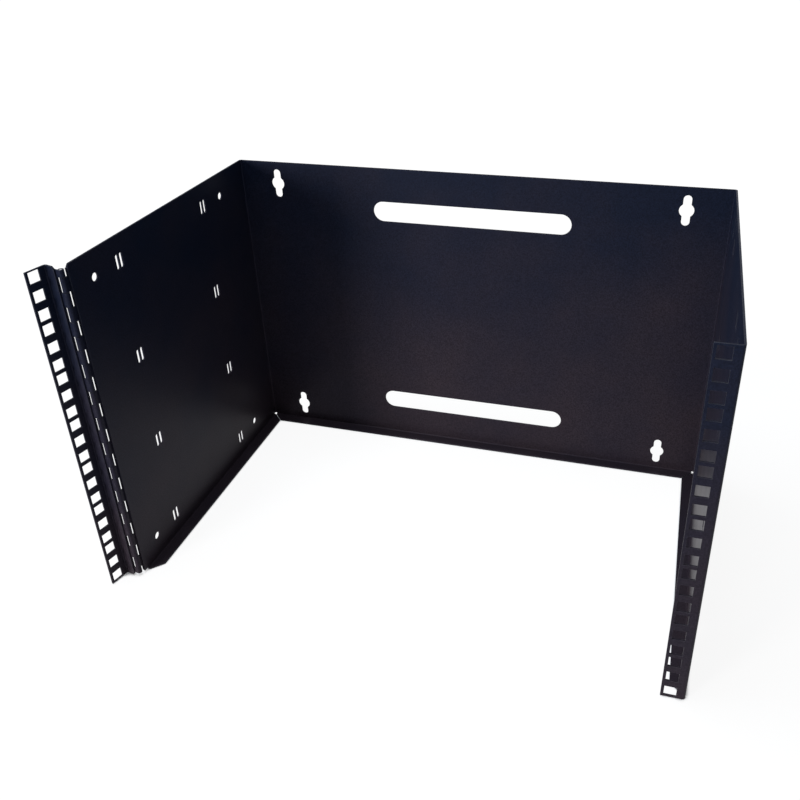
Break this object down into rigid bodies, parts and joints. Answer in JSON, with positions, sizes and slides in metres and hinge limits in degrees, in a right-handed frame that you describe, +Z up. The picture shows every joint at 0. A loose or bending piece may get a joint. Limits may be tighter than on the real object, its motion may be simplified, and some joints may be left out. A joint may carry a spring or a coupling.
{
  "type": "hinged wall mount rack bracket",
  "caption": "Open folded-sheet wall bracket for rack equipment, with keyholes and cable slots in the back, square-hole rack flanges and a hinged left rail that swings outwards.",
  "frame": {"origin": "centre of the back panel's face that lies on the wall", "axes": "+X to the right seen from the front, +Y into the wall, +Z up"},
  "size_m": [0.5101, 0.3022, 0.3112],
  "materials": {
    "black_powder_coat": "fine semi-gloss black powder coat",
    "pin_steel": "drawn steel wire"
  },
  "bodies": {
    "frame": {"bracket_frame": "black_powder_coat", "hinge_frame_leaf": "black_powder_coat", "hinge_pin": "pin_steel"},
    "rail": {"hinged_rail": "black_powder_coat", "hinge_rail_leaf": "black_powder_coat"}
  },
  "joints": [
    {"name": "rail_hinge", "type": "hinge", "parent": "frame", "child": "rail", "pos_m": [-0.24688, -0.28445, 0], "axis": [0, 0, -1], "range_deg": [-104, 76]}
  ]
}
